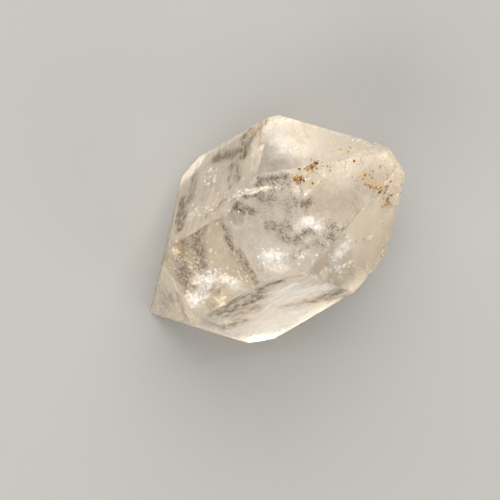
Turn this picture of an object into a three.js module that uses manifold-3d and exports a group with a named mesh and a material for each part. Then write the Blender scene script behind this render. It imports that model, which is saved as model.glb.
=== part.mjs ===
// A Herkimer diamond: a short, doubly terminated quartz crystal, lying on one of its pyramid faces.
// Six prism faces run along the long axis, and six pyramid faces close each end. The faces grew at
// slightly different rates, so each has its own distance from the centre. On them lie the growth
// ledges, the striations, the three-cornered etch pits and the small shell-shaped chips.
//
// Frame: millimetres, +Z up, the resting face in the plane Z = 0. The origin lies straight under
// the crystal's centre, and the upper end of the long axis leans towards +X.

import * as THREE from 'three';
import { mergeVertices } from 'three/addons/utils/BufferGeometryUtils.js';
import Module from 'manifold-3d';

// ---- Driving dimensions ----

// Angle of quartz: from the long axis to the normal of a pyramid face, in degrees.
const PYRAMID_ANGLE = 51.79;

// Distances from the crystal's centre to its faces, by azimuth. Azimuth 0 is the side turned up,
// and azimuth 180 is the side turned down.
const PRISM_FACES = { 0: 8.3, 60: 7.3, 120: 7.5, 180: 7.4, 240: 8.7, 300: 7.0 };
const UPPER_PYRAMID = { 0: 7.1, 60: 8.2, 120: 10.3, 180: 10.4, 240: 10.0, 300: 8.3 };
const LOWER_PYRAMID = { 0: 10.6, 60: 10.3, 120: 9.4, 180: 6.4, 240: 9.3, 300: 9.0 };

// Growth ledges: parts of a face that stopped growing early and lie deeper. An outline is the foot of
// a ledge, in millimetres across the face and up it towards the nearer tip, from the centre's foot.
const RISER_WIDTH = 1.2; // of a ledge's slope, over its depth
const LEDGES = [
  { face: 'upper 0', depth: 0.3, outline: [[-6, -6], [6, -6], [6, -4.5], [0.8, -4.5], [0.4, -4.3],
    [-6, -4.2]] },
  { face: 'upper 0', depth: 0.5, outline: [[-6, -6], [-1.9, -6], [-2.1, -3.4], [-2.5, -3.1], [-6, -2.9]] },
  { face: 'upper 0', depth: 0.15, outline: [[-7, -5], [-3.1, -5], [-3.7, -1.7], [-3.6, -0.2], [-4.2, 0.3],
    [-3.6, 1.0], [-3.4, 2.7], [-7, 3.2]] },
  { face: 'upper 60', depth: 0.12, outline: [[-4, -3], [1.2, -3], [0.6, -0.9], [-1.0, -0.6], [-1.5, 0.8],
    [-4, 0.8]] },
  { face: 'upper 300', depth: 0.12, outline: [[0.9, -3], [4, -3], [4, 2.4], [1.5, 1.7], [1.2, 0.2]] },
  { face: 'prism 0', depth: 0.14, outline: [[-5, -9], [-1.7, -9], [-1.9, -5.2], [-2.7, -4.4], [-5, -4.1]] },
  { face: 'prism 60', depth: 0.16, outline: [[-8, -9], [1.4, -9], [-1.8, -5.6], [-4.0, -5.2], [-8, -4.4]] },
  { face: 'prism 60', depth: 0.12, outline: [[1.9, 5], [3.0, 2.2], [3.5, -0.6], [6, -0.8], [6, 5]] },
  { face: 'prism 120', depth: 0.12, outline: [[-6, 9], [-6, 3.4], [-2.6, 3.2], [-0.8, 4.9], [2.6, 5.1],
    [4.2, 9]] },
  { face: 'prism 240', depth: 0.18, outline: [[-2.0, 7], [-1.2, 2.6], [0.6, 2.2], [1.6, 1.0], [5, 0.8],
    [5, 7]] },
  { face: 'prism 300', depth: 0.07, outline: [[-8, 6], [-8, 0.6], [-5.2, 0.8], [-4.4, 2.0], [-4.1, 6]] },
  { face: 'lower 0', depth: 0.12, outline: [[-5, -1], [-1.5, -1], [-1.9, 1.4], [-2.7, 2.2], [-5, 2.4]] },
  { face: 'lower 300', depth: 0.08, outline: [[-7, -1], [2.0, -1], [1.2, 1.1], [-2.4, 1.5], [-3.1, 2.6],
    [-7, 2.8]] },
  { face: 'upper 180', depth: 0.18, outline: [[-6, -1], [6, -1], [6, 2.2], [2.2, 2.0], [1.5, 2.6],
    [-6, 2.8]] },
  { face: 'upper 240', depth: 0.14, outline: [[-7, -3], [-0.4, -3], [-1.4, 0.4], [-2.6, 0.8], [-3.0, 2.0],
    [-7, 2.2]] },
];

// Striations: fine grooves across the prism faces, at right angles to the long axis.
const STRIATION_LENGTH = 6.4;
const STRIATION_WIDTH = 0.22;
const STRIATION_DEPTH = 0.05;
const STRIATION_VARIATION = 0.5; // of length and width, each way
const ROW_VARIATION = 0.45; // of a row's place, over the distance between rows
const STRIATED_FACES = [
  { face: 'prism 300', rows: 34, from: -4.8, to: 4.2, across: -1.4, spread: 5.4 },
  { face: 'prism 60', rows: 16, from: -4.4, to: 3.4, across: 0.2, spread: 4.0 },
  { face: 'prism 0', rows: 12, from: -6.2, to: -0.2, across: 0.2, spread: 3.6 },
  { face: 'prism 120', rows: 20, from: -4.6, to: 5.8, across: 0.4, spread: 4.0 },
  { face: 'prism 240', rows: 18, from: -2.6, to: 4.2, across: 0.0, spread: 3.4 },
  { face: 'prism 180', rows: 12, from: 0.6, to: 6.8, across: 0.6, spread: 3.0 },
];

// Three-cornered etch hollows and pits, with one corner towards the tip. The large hollow lies near
// the upper ridge, with deeper pits in it. Fields of small pits roughen the tips.
const PIT_NARROWING = 0.62; // width of a pit over that of an equal-sided one
const SMALL_PIT_DEPTH = 0.3; // over the pit's radius
const SMALLEST_PIT = 0.35; // over the radius of the largest one in its field
const HOLLOW = { face: 'upper 0', depth: 0.2, outline: [[-3.2, 2.95], [-1.3, 3.0], [-2.2, 5.9]] };
const DEEP_PITS = [
  { face: 'upper 0', across: -2.75, up: 3.25, radius: 0.42, depth: 0.42 },
  { face: 'upper 0', across: -3.05, up: 4.3, radius: 0.5, depth: 0.3 },
  { face: 'upper 0', across: -1.85, up: 4.1, radius: 0.34, depth: 0.36 },
  { face: 'upper 0', across: -2.4, up: 4.9, radius: 0.4, depth: 0.34 },
  { face: 'upper 0', across: -1.75, up: 6.5, radius: 0.5, depth: 0.16 },
  { face: 'upper 300', across: 0.0, up: 4.2, radius: 0.5, depth: 0.26 },
];
const PIT_FIELDS = [
  { face: 'upper 0', count: 64, across: -0.5, up: 8.4, half: [2.1, 2.5], radius: 0.46 },
  { face: 'upper 300', count: 34, across: -2.2, up: 7.5, half: [1.2, 2.8], radius: 0.42 },
  { face: 'upper 60', count: 26, across: 2.9, up: 7.3, half: [1.0, 1.8], radius: 0.38 },
  { face: 'upper 180', count: 14, across: 0.0, up: 5.4, half: [1.6, 2.2], radius: 0.5 },
  { face: 'lower 240', count: 12, across: -1.2, up: 1.4, half: [1.0, 1.6], radius: 0.42 },
  { face: 'lower 60', count: 12, across: 0.6, up: 4.0, half: [1.6, 2.0], radius: 0.44 },
];

// Shell-shaped chips on the edges: the two faces that meet, how far up the first one, and the size.
const CHIPS = [
  { faces: ['upper 0', 'upper 300'], up: 1.4, radius: 1.0, depth: 0.2 },
  { faces: ['upper 0', 'upper 300'], up: 8.2, radius: 0.9, depth: 0.14 },
  { faces: ['upper 0', 'upper 60'], up: 8.9, radius: 0.8, depth: 0.1 },
  { faces: ['upper 300', 'prism 300'], up: -0.8, across: 1.9, radius: 1.0, depth: 0.16 },
  { faces: ['prism 300', 'upper 0'], up: 1.8, radius: 0.9, depth: 0.2 },
  { faces: ['prism 0', 'prism 60'], up: -2.2, radius: 0.8, depth: 0.1 },
  { faces: ['prism 120', 'upper 120'], up: 7.1, across: 2.0, radius: 1.1, depth: 0.18 },
  { faces: ['prism 240', 'prism 300'], up: -1.8, radius: 1.0, depth: 0.06 },
  { faces: ['prism 120', 'prism 180'], up: -0.2, radius: 1.3, depth: 0.07 },
  { faces: ['lower 240', 'prism 240'], up: -0.1, across: -1.4, radius: 1.2, depth: 0.16 },
];

// ---- The crystal's own directions ----

const PRISM = 'prism';
const UPPER = 'upper';
const LOWER = 'lower';
const LEAN = THREE.MathUtils.degToRad(90 - PYRAMID_ANGLE);
const RESTING_FACE_DISTANCE = LOWER_PYRAMID[180];
const LONG_AXIS = new THREE.Vector3(Math.cos(LEAN), 0, Math.sin(LEAN));
const UP_SIDE = new THREE.Vector3(-Math.sin(LEAN), 0, Math.cos(LEAN));
const CENTRE = new THREE.Vector3(0, 0, RESTING_FACE_DISTANCE);
const DISTANCES = { [PRISM]: PRISM_FACES, [UPPER]: UPPER_PYRAMID, [LOWER]: LOWER_PYRAMID };

// A face's frame: its outward normal, the direction up it towards the nearer tip, the direction
// across it, and the foot of the centre on it. A prism face runs up along the long axis.
function faceFrame(name) {
  const [family, azimuth] = name.split(' ');
  const outward = UP_SIDE.clone().applyAxisAngle(LONG_AXIS, THREE.MathUtils.degToRad(+azimuth));
  const tipward = LONG_AXIS.clone().multiplyScalar(family === LOWER ? -1 : 1);
  const slope = family === PRISM ? 0 : LEAN;
  const normal = outward.clone().multiplyScalar(Math.cos(slope)).addScaledVector(tipward, Math.sin(slope));
  const up = tipward.clone().multiplyScalar(Math.cos(slope)).addScaledVector(outward, -Math.sin(slope));
  const across = new THREE.Vector3().crossVectors(up, normal);
  const foot = CENTRE.clone().addScaledVector(normal, DISTANCES[family][azimuth]);
  return { normal, up, across, foot };
}

// Puts a geometry that is drawn flat (X across, Y up the face, Z outward) on a face.
function placeOnFace(geometry, name, across, up) {
  const frame = faceFrame(name);
  const moved = new THREE.Matrix4().makeTranslation(across, up, 0);
  const onFace = new THREE.Matrix4().makeBasis(frame.across, frame.up, frame.normal);
  onFace.setPosition(frame.foot);
  return geometry.applyMatrix4(moved).applyMatrix4(onFace);
}

// ---- Joins and cuts ----

const wasm = await Module();
wasm.setup();

const SAME_POINT = 1e-5; // vertices closer than this are one vertex
function toSolid(geometry) {
  const bare = geometry.clone();
  bare.deleteAttribute('normal');
  bare.deleteAttribute('uv');
  const merged = mergeVertices(bare, SAME_POINT);
  return new wasm.Manifold(new wasm.Mesh({
    numProp: 3,
    vertProperties: new Float32Array(merged.attributes.position.array),
    triVerts: new Uint32Array(merged.index.array),
  }));
}

function toGeometry(solid) {
  const mesh = solid.getMesh();
  const geometry = new THREE.BufferGeometry();
  geometry.setAttribute('position', new THREE.BufferAttribute(new Float32Array(mesh.vertProperties), 3));
  geometry.setIndex(new THREE.BufferAttribute(new Uint32Array(mesh.triVerts), 1));
  geometry.computeVertexNormals();
  return geometry;
}

// Uneven but repeatable scatter between -1 and 1: item i of row k.
function scatter(i, k) {
  const wave = 43758.5453 * Math.sin(12.9898 * (i + 1) + 78.233 * (k + 1));
  return 2 * (wave - Math.floor(wave)) - 1;
}

// ---- The flat faces ----

// Starts from a block wider than the crystal and takes off what lies outside each face.
const BLOCK_SIZE = 44;
function flatFacedCrystal() {
  let solid = toSolid(new THREE.BoxGeometry(BLOCK_SIZE, BLOCK_SIZE, BLOCK_SIZE)
    .translate(CENTRE.x, CENTRE.y, CENTRE.z));
  for (const [family, distances] of Object.entries(DISTANCES)) {
    for (const azimuth of Object.keys(distances)) {
      const outside = new THREE.BoxGeometry(2 * BLOCK_SIZE, 2 * BLOCK_SIZE, BLOCK_SIZE)
        .translate(0, 0, BLOCK_SIZE / 2);
      solid = solid.subtract(toSolid(placeOnFace(outside, `${family} ${azimuth}`, 0, 0)));
    }
  }
  return solid;
}

// ---- Relief on the faces ----

// A cutter that sinks an outline into a face and widens upwards, so that its walls slope.
const ABOVE_FACE = 1;
function sunkenOutline({ face, outline, depth }) {
  const shape = new THREE.Shape(outline.map(([across, up]) => new THREE.Vector2(across, up)));
  const cutter = new THREE.ExtrudeGeometry(shape, {
    depth: ABOVE_FACE,
    bevelEnabled: true,
    bevelSegments: 1,
    bevelThickness: depth,
    bevelSize: RISER_WIDTH * depth,
  });
  return placeOnFace(cutter, face, 0, 0);
}

// A groove that runs out at both ends: an eight-sided spindle, half sunk in the face.
function grooveCutter(face, across, up, length, width, depth) {
  const cutter = new THREE.OctahedronGeometry(1);
  cutter.scale(length / 2, width / 2, depth);
  return placeOnFace(cutter, face, across, up);
}

function striationCutters({ face, rows, from, to, across, spread }) {
  const cutters = [];
  for (let i = 0; i < rows; i++) {
    const up = from + ((to - from) * (i + ROW_VARIATION * scatter(i, 0))) / (rows - 1);
    const length = STRIATION_LENGTH * (1 + STRIATION_VARIATION * scatter(i, 1));
    const width = STRIATION_WIDTH * (1 + STRIATION_VARIATION * scatter(i, 2));
    const place = across + (spread / 2) * scatter(i, 3);
    cutters.push(grooveCutter(face, place, up, length, width, STRIATION_DEPTH));
  }
  return cutters;
}

// An etch pit: a three-sided pyramid with its point in the crystal.
function pitCutter({ face, across, up, radius, depth }) {
  const cutter = new THREE.ConeGeometry(2 * radius, 2 * depth, 3).rotateX(-Math.PI / 2);
  return placeOnFace(cutter.scale(PIT_NARROWING, 1, 1), face, across, up);
}

function pitFieldCutters({ face, count, across, up, half, radius }) {
  const cutters = [];
  for (let i = 0; i < count; i++) {
    const size = radius * THREE.MathUtils.lerp(SMALLEST_PIT, 1, scatter(i, 6) ** 2);
    cutters.push(pitCutter({
      face,
      across: across + half[0] * scatter(i, 4),
      up: up + half[1] * scatter(i, 5),
      radius: size,
      depth: SMALL_PIT_DEPTH * size,
    }));
  }
  return cutters;
}

// A chip: a shallow ball-shaped scoop out of the edge where two faces meet.
const SCOOP_DETAIL = 3; // how often the ball's triangles are divided
function chipCutter({ faces, up, across = null, radius, depth }) {
  const first = faceFrame(faces[0]);
  const second = faceFrame(faces[1]);
  const place = first.foot.clone().addScaledVector(first.up, up);
  if (across === null) {
    const gap = second.foot.clone().sub(place).dot(second.normal);
    place.addScaledVector(first.across, gap / first.across.dot(second.normal));
  } else {
    place.addScaledVector(first.across, across);
  }
  const outward = first.normal.clone().add(second.normal).normalize();
  place.addScaledVector(outward, radius - depth);
  return new THREE.IcosahedronGeometry(radius, SCOOP_DETAIL).translate(place.x, place.y, place.z);
}

function crystalGeometry() {
  const cutters = [
    ...LEDGES.map(sunkenOutline),
    ...STRIATED_FACES.flatMap(striationCutters),
    sunkenOutline(HOLLOW),
    ...DEEP_PITS.map(pitCutter),
    ...PIT_FIELDS.flatMap(pitFieldCutters),
    ...CHIPS.map(chipCutter),
  ];
  let solid = flatFacedCrystal();
  for (const cutter of cutters) solid = solid.subtract(toSolid(cutter));
  return toGeometry(solid);
}

// ---- The part ----

const quartz = new THREE.MeshStandardMaterial({
  color: 0xe6ddcf,
  roughness: 0.08,
  metalness: 0,
  transparent: true,
  opacity: 0.35,
});

const herkimerDiamond = new THREE.Group();
const crystal = new THREE.Mesh(crystalGeometry(), quartz);
crystal.name = 'crystal';
herkimerDiamond.add(crystal);

export default herkimerDiamond;
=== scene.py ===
import math

import bpy
import numpy as np
from mathutils import Matrix, Vector, noise


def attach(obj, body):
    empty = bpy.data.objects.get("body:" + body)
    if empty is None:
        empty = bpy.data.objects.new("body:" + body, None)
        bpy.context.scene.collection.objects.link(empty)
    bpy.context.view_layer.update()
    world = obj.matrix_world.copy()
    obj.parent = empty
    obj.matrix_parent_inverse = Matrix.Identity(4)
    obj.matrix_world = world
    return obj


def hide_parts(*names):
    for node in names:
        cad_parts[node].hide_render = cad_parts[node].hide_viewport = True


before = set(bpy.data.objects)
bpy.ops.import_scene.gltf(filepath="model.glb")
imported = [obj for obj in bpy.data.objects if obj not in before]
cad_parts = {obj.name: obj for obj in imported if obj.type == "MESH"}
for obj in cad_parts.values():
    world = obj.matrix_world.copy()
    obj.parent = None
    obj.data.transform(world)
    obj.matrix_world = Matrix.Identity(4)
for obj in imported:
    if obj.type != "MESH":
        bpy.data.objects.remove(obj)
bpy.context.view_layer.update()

# ---- The crystal ----
# One doubly terminated quartz crystal, clear but full of fine haze, with a faint warm tint. It grew
# free in a pocket, so it has faces all round: six prism faces, and six pyramid faces at each end.

MM = 0.001
PYRAMID_ANGLE = 51.79  # degrees from the long axis to the normal of a pyramid face
CENTRE = np.array([0, 0, 6.4])  # in millimetres, as all sizes of the crystal and its pieces are
FACE_DISTANCES = {
    "prism": {0: 8.3, 60: 7.3, 120: 7.5, 180: 7.4, 240: 8.7, 300: 7.0},
    "upper": {0: 7.1, 60: 8.2, 120: 10.3, 180: 10.4, 240: 10.0, 300: 8.3},
    "lower": {0: 10.6, 60: 10.3, 120: 9.4, 180: 6.4, 240: 9.3, 300: 9.0},
}
LEAN = math.radians(90 - PYRAMID_ANGLE)
LONG_AXIS = np.array([math.cos(LEAN), 0, math.sin(LEAN)])
UP_SIDE = np.array([-math.sin(LEAN), 0, math.cos(LEAN)])


def face_frame(family, azimuth):
    """A face's normal, its directions up towards the nearer tip and across, and the centre's foot."""
    turn = math.radians(azimuth)
    outward = math.cos(turn) * UP_SIDE + math.sin(turn) * np.cross(LONG_AXIS, UP_SIDE)
    tipward = LONG_AXIS * (-1 if family == "lower" else 1)
    slope = 0 if family == "prism" else LEAN
    normal = outward * math.cos(slope) + tipward * math.sin(slope)
    up = tipward * math.cos(slope) - outward * math.sin(slope)
    return normal, up, np.cross(up, normal), CENTRE + normal * FACE_DISTANCES[family][azimuth]


FACES = [f"{family} {azimuth}" for family in FACE_DISTANCES for azimuth in FACE_DISTANCES[family]]
NORMALS, UPS, ACROSSES, FEET = (
    np.array(part)
    for part in zip(*(face_frame(name.split()[0], int(name.split()[1])) for name in FACES))
)


def nearest_face(points):
    """The index of the face that each point lies on, and how far the point lies over it."""
    heights = np.stack([(points - foot) @ normal for foot, normal in zip(FEET, NORMALS)])
    return heights.argmax(0), heights.max(0)


def on_face(points, face):
    """Each point's place across and up its face."""
    offset = points - FEET[face]
    return (offset * ACROSSES[face]).sum(1), (offset * UPS[face]).sum(1)


def strokes_at(strokes, face, across, up):
    """How strongly soft strokes drawn on the faces cover each place, from 0 to 1."""
    cover = np.zeros(len(face))
    for name, x0, y0, x1, y1, width, strength in strokes:
        span = (x1 - x0) ** 2 + (y1 - y0) ** 2
        share = np.clip(((across - x0) * (x1 - x0) + (up - y0) * (y1 - y0)) / span, 0, 1)
        distance = np.hypot(across - x0 - share * (x1 - x0), up - y0 - share * (y1 - y0))
        here = strength * np.exp(-((distance / width) ** 2)) * (face == FACES.index(name))
        cover = np.maximum(cover, here)
    return cover


VOXEL = 0.135
MERGED_WITHIN = 0.0001
EDGE_ROUNDING = 0.025
TIP = np.array([12.4, 0, 13.2])  # the upper tip, which is blunter than the edges
TIP_ROUNDING = 0.5
TIP_REACH = 1.6


def soften(points):
    """How far the soft meeting of the faces lies under each point, and which way it faces there."""
    heights = np.stack([(points - foot) @ normal for foot, normal in zip(FEET, NORMALS)], 1)
    from_tip = np.linalg.norm(points - TIP, axis=1)
    rounding = EDGE_ROUNDING + TIP_ROUNDING * np.exp(-((from_tip / TIP_REACH) ** 2))
    top = heights.max(1)
    share = np.exp((heights - top[:, None]) / rounding[:, None])
    facing = share @ NORMALS / share.sum(1)[:, None]
    steep = np.linalg.norm(facing, axis=1)
    return rounding * np.log(share.sum(1)) / steep, facing / steep[:, None]


bpy.ops.object.select_all(action="DESELECT")
crystal = bpy.data.objects.new("quartz_crystal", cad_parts["crystal"].data.copy())
bpy.context.scene.collection.objects.link(crystal)
bpy.context.view_layer.objects.active = crystal
crystal.select_set(True)
bpy.ops.object.mode_set(mode="EDIT")
bpy.ops.mesh.select_all(action="SELECT")
bpy.ops.mesh.remove_doubles(threshold=MERGED_WITHIN * MM)
bpy.ops.object.mode_set(mode="OBJECT")
even = crystal.modifiers.new("even", "REMESH")
even.mode = "VOXEL"
even.voxel_size = VOXEL * MM
bpy.ops.object.modifier_apply(modifier="even")
mesh = crystal.data

# The points and squares are numbered by place, so that what is scattered over the crystal later
# doesn't depend on the order in which they were made.
flat = np.empty(len(mesh.vertices) * 3, np.float32)
mesh.vertices.foreach_get("co", flat)
places = flat.reshape(-1, 3).astype(float) / MM
by_place = np.lexsort(places.T)
squares = np.argsort(by_place)[np.array([square.vertices[:] for square in mesh.polygons])]
turned = (squares.argmin(1)[:, None] + np.arange(4)) % 4
squares = np.take_along_axis(squares, turned, 1)
squares = squares[np.lexsort(squares.T[::-1])]
places = places[by_place]

FLAT_WITHIN = 0.05  # relief shallower than this is pressed flat
ROUGH = [FACES.index(name) for name in ("upper 0", "prism 0", "prism 60", "prism 300", "lower 0")]
EDGE_REACH = 0.4  # how far in from an edge the relief fades, on the rough faces
CLEAN_EDGE_REACH = 1.1  # and on the others
EDGE_START = 0.3  # the share of that reach which counts as the edge itself
WORN_DEPTH = 0.1  # over which a rough face goes from whole to worn
WORN_START = 0.5  # how much of that depth down the wear starts
FIRST_SMOOTHING = 5  # rounds
SMOOTHINGS = (8, 8, 0)  # rounds after each time that the faces are pulled true


def off_edge(points):
    """0 at the edges, where two faces meet, to 1 well away from them."""
    heights = np.array([(points - foot) @ normal for foot, normal in zip(FEET, NORMALS)])
    reach = np.where(np.isin(heights.argmax(0), ROUGH), EDGE_REACH, CLEAN_EDGE_REACH)
    heights.sort(0)
    return np.clip((heights[-1] - heights[-2]) / reach - EDGE_START, 0, 1)


def smoothed(points, chosen, repeat):
    """The points, with the chosen ones moved halfway to the mean of their neighbours, repeatedly."""
    start, end = squares.ravel(), np.roll(squares, -1, 1).ravel()
    neighbours = np.bincount(start)[:, None]
    for _ in range(repeat):
        mean = np.stack([np.bincount(start, points[end, axis]) for axis in range(3)], 1) / neighbours
        points = np.where(chosen[:, None], (points + mean) / 2, points)
    return points


# The steps of the remesh are smoothed off the relief, and the faces and their edges pulled true.
sunken = -nearest_face(places)[1] * off_edge(places) > FLAT_WITHIN
places = smoothed(places, sunken, FIRST_SMOOTHING)
for repeat in SMOOTHINGS:
    face, height = nearest_face(places)
    off = off_edge(places)
    flatness = np.clip((3 * FLAT_WITHIN + height) / (2 * FLAT_WITHIN), 0, 1)
    lift = height * np.maximum(flatness, 1 - off)
    places -= NORMALS[face] * lift[:, None]
    places = smoothed(places, lift < -FLAT_WITHIN, repeat)
# How far the rough faces are sunken or broken at each point, from 0 to 1.
worn = np.clip(-height * off / WORN_DEPTH - WORN_START, 0, 1) * np.isin(face, ROUGH)
depth, facing = soften(places)
places -= facing * depth[:, None]

# A stroke is a face, from (across, up), to (across, up), half width and strength.
CHIPPED = [
    ("upper 0", -2.8, 4.2, -1.9, 9.8, 0.5, 1.0),
    ("upper 0", -2.6, 3.2, -1.6, 5.0, 0.6, 0.6),
    ("upper 300", -0.2, 4.6, -1.4, 9.0, 0.5, 1.0),
]
CHIPPING = 2  # how much more a chipped place crumbles than a worn one
WOBBLE = 0.35
WOBBLE_SCALE = 0.9
WOBBLE_SEEDS = (0, 50)  # for the shifts across and up


def noise_at(points, scale, seed=0):
    """Smooth noise at each point, from -1 to 1."""
    return np.array([noise.noise(Vector(point * scale + seed)) for point in points])


def drawn_at(points, face):
    """Each point's place across and up its face, shifted a little to give strokes uneven outlines."""
    across, up = on_face(points, face)
    shift_across, shift_up = (WOBBLE * noise_at(points, WOBBLE_SCALE, seed) for seed in WOBBLE_SEEDS)
    return across + shift_across, up + shift_up


# The striations run across the faces, and along the one face that grew in long steps.
LENGTHWISE = FACES.index("prism 60")
RESTING = FACES.index("lower 180")
STRIATION_STRENGTH = {"prism": 1.0, "upper": 0.15, "lower": 0.35}
FAINT = {"lower 180": 0.2, "prism 0": 0.45}  # fainter than on the other faces of their kind
BROAD_HEIGHT = 0.05
BROAD_STRIATIONS = (0.22, 1.5, 7.3, 0)  # scale along and over them, step from face to face, start
NARROW_HEIGHT = 0.035
NARROW_STRIATIONS = (0.4, 3.2, 3.1, 40)
CRUMB_HEIGHT = 0.06
CRUMB_SCALE = 3.1
SWELL_HEIGHT = 0.02
SWELL_SCALE = 0.35
drawn = drawn_at(places, face)
across, up = on_face(places, face)
slow = np.where(face == LENGTHWISE, up, across)
fast = np.where(face == LENGTHWISE, across, up)


def striations(along_scale, over_scale, face_step, start):
    """Noise drawn out along the striations of each face, from -1 to 1."""
    rows = zip(slow * along_scale, fast * over_scale, face * face_step + start)
    return np.array([noise.noise(Vector(row)) for row in rows])


strength = np.array([FAINT.get(name, STRIATION_STRENGTH[name.split()[0]]) for name in FACES])[face]
broad, narrow = striations(*BROAD_STRIATIONS), striations(*NARROW_STRIATIONS)
chipped = CHIPPING * strokes_at(CHIPPED, face, *drawn)
crumbled = noise_at(places, CRUMB_SCALE) * np.maximum(worn, chipped)
relief = CRUMB_HEIGHT * crumbled + strength * (BROAD_HEIGHT * broad + NARROW_HEIGHT * narrow)
relief += SWELL_HEIGHT * (noise_at(places, SWELL_SCALE) - 1) * (face != RESTING)
places += NORMALS[face] * relief[:, None]
places[:, 2] = np.maximum(places[:, 2], 0)
mesh.clear_geometry()
mesh.from_pydata((places * MM).tolist(), [], squares.tolist())
bpy.ops.object.shade_smooth()

# How each face looks, and the strokes where it is etched, where dark reflections, light or shade are
# painted on it, and where it is stained.
FACE_LOOKS = {
    # frost, painted shade of the body's haze (painted light where below 0), painted dark reflection all
    # over, how streaky that painted dark is, warmth
    "upper 300": (0.25, 0.8, 0.0, 0.2, 0.0),
    "upper 60": (0.12, 0.4, 0.08, 0.2, 0.3),
    "upper 0": (0.1, 0.28, 0.14, 0.1, 0.3),
    "prism 0": (0.06, 0.2, 0.16, 0.2, 0.75),
    "prism 300": (0.06, -0.05, 0.13, 0.7, 0.25),
    "prism 60": (0.06, -0.3, 0.06, 0.5, 0.0),
    "lower 0": (0.1, -0.35, 0.05, 0.6, 0.3),
    "lower 300": (0.28, 0.7, 0.16, 0.5, 0.8),
}
OTHER_FACES = (0.28, 0.2, 0.16, 0.5, 0.3)  # the same, for the faces that aren't listed
ETCHED = [
    ("upper 0", -3.0, 2.8, -1.5, 5.0, 0.7, 0.9),
    ("upper 0", -2.6, 5.6, -1.6, 7.4, 0.7, 0.8),
    ("upper 0", -1.6, 7.4, 0.6, 9.8, 1.0, 1.0),
    ("upper 0", -1.0, 10.4, 0.6, 11.2, 1.0, 0.7),
    ("upper 300", -2.6, 6.0, -1.4, 9.2, 0.8, 0.8),
    ("upper 60", 2.6, 7.0, 3.0, 9.0, 0.8, 0.7),
    ("prism 0", 1.4, -4.2, 2.6, -1.2, 1.0, 0.7),
    ("prism 0", 1.6, -6.2, 3.0, -4.0, 0.8, 0.6),
]
# Painted dark reflections: strokes where the dark ground, seen through the crystal, is painted as
# grey-brown patches on the body.
PAINTED_DARK_STROKES = [
    ("upper 0", -3.3, -2.9, -2.3, -2.0, 0.5, 1.3),
    ("upper 0", -3.8, -1.7, -3.3, -0.3, 0.28, 1.3),
    ("upper 0", -3.0, -0.5, -2.3, 0.3, 0.6, 1.0),
    ("upper 0", -4.3, 0.2, -3.6, 2.4, 0.45, 1.3),
    ("upper 0", -3.4, 0.6, -2.8, 2.2, 0.6, 0.75),
    ("upper 0", -0.9, 2.1, -0.6, 2.9, 0.45, 1.3),
    ("upper 0", -1.8, 1.8, -0.2, 2.4, 0.6, 0.6),
    ("upper 0", -0.5, -1.0, 0.6, -0.4, 0.7, 0.8),
    ("upper 0", -2.2, -1.4, -1.2, -0.8, 0.6, 0.5),
    ("upper 0", 1.3, -0.4, 1.9, 0.6, 0.6, 1.0),
    ("upper 0", 1.5, 1.2, 1.9, 2.0, 0.45, 1.4),
    ("upper 0", 0.3, 0.2, 1.4, 1.2, 0.7, 0.7),
    ("upper 0", 2.5, 3.6, 3.4, 3.2, 0.7, 0.9),
    ("upper 0", 3.0, 3.6, 3.2, 5.2, 0.5, 0.6),
    ("upper 0", -1.6, 1.0, 0.0, 1.4, 0.7, 0.6),
    ("upper 0", 2.6, -3.6, 2.9, 0.8, 0.5, 0.6),
    ("upper 0", 2.8, 0.8, 3.3, 2.4, 0.5, 0.6),
    ("upper 0", 0.4, 7.0, 2.4, 6.6, 1.0, 0.3),
    ("prism 0", -2.6, 0.5, 0.2, 0.3, 0.36, 1.1),
    ("prism 0", 0.4, 0.5, 3.3, 0.9, 0.8, 1.0),
    ("prism 0", -3.1, -3.9, -1.6, -5.0, 0.6, 1.0),
    ("prism 0", -1.6, -5.0, 0.5, -5.7, 0.7, 1.15),
    ("prism 0", -3.2, -1.6, -3.0, -2.8, 0.6, 1.0),
    ("prism 0", -3.0, -2.3, 0.2, -3.6, 0.7, 1.1),
    ("prism 0", -2.6, -3.4, -0.4, -4.6, 0.9, 0.7),
    ("prism 0", 0.2, -5.6, 1.0, -5.0, 0.4, 1.1),
    ("prism 0", 1.8, -3.0, 3.2, -4.8, 0.7, 0.6),
    ("prism 60", -4.6, -5.4, -4.9, -2.2, 0.6, 1.0),
    ("prism 60", -4.9, -2.2, -4.0, 1.9, 0.5, 1.05),
    ("prism 60", -3.9, -4.4, -3.5, -0.4, 1.1, 1.1),
    ("prism 60", -2.6, -4.4, -2.2, -2.2, 0.9, 0.7),
    ("prism 60", -1.4, -6.0, -1.0, -4.6, 0.7, 0.9),
    ("prism 60", 1.7, 0.4, 2.9, 3.8, 0.8, 1.0),
    ("prism 60", 0.4, -0.8, 2.2, 0.6, 0.8, 0.5),
    ("prism 60", 2.8, 1.8, 4.2, 3.0, 0.6, 0.7),
    ("prism 300", -5.6, 3.8, -4.3, 2.6, 1.2, 1.0),
    ("prism 300", -6.6, 3.7, -2.6, 4.1, 0.5, 0.9),
    ("prism 300", -4.9, 2.0, -2.4, 2.2, 0.9, 1.3),
    ("prism 300", -3.0, 1.8, -4.1, -1.6, 0.75, 1.3),
    ("prism 300", -1.6, 1.3, 1.0, 2.1, 0.7, 0.7),
    ("prism 300", -1.8, 0.7, 1.8, 1.2, 0.25, 0.8),
    ("prism 300", -3.5, -3.9, 0.2, -4.0, 0.5, 0.85),
    ("prism 300", -0.4, -4.9, 3.6, -4.4, 0.7, 1.2),
    ("prism 300", 3.2, 0.8, 4.0, -1.4, 0.5, 0.5),
    ("lower 0", -0.8, 2.9, -0.8, 5.0, 0.8, 0.6),
    ("lower 0", -0.9, 1.3, -3.1, 2.6, 0.5, 0.7),
]
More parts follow.
